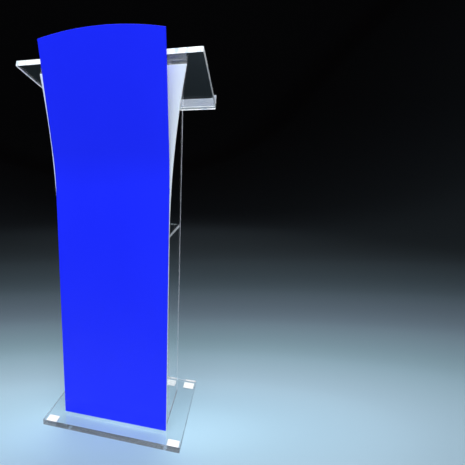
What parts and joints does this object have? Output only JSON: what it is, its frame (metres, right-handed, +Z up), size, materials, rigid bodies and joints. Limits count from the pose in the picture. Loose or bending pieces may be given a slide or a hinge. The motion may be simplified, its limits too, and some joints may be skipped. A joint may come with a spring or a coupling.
{
  "type": "presentation lectern",
  "caption": "Free-standing acrylic lectern with a sloping clear top, paper stop, inner shelf, frosted front and a blue front panel that curves forward and rises above the top.",
  "frame": {"origin": "on the floor, at the centre of the whole lectern's footprint seen from above", "axes": "+Z up, audience at -Y (the blue panel faces -Y), speaker at +Y, +X to the audience's right along the width"},
  "size_m": [0.54, 0.4412, 1.247],
  "materials": {
    "clear_acrylic": "clear cast acrylic with flame-polished edges",
    "frosted_acrylic": "frosted white translucent acrylic",
    "blue_acrylic": "opaque blue acrylic, polished",
    "white_pad": "soft white self-adhesive pad"
  },
  "bodies": {
    "root": {"foot_pad_front_left": "white_pad", "foot_pad_front_right": "white_pad", "foot_pad_rear_left": "white_pad", "foot_pad_rear_right": "white_pad", "base_plate": "clear_acrylic", "side_panel_left": "clear_acrylic", "side_panel_right": "clear_acrylic", "front_panel_frosted": "frosted_acrylic", "front_panel_blue": "blue_acrylic", "shelf": "clear_acrylic", "top_plate": "clear_acrylic", "paper_stop": "clear_acrylic"}
  },
  "joints": []
}
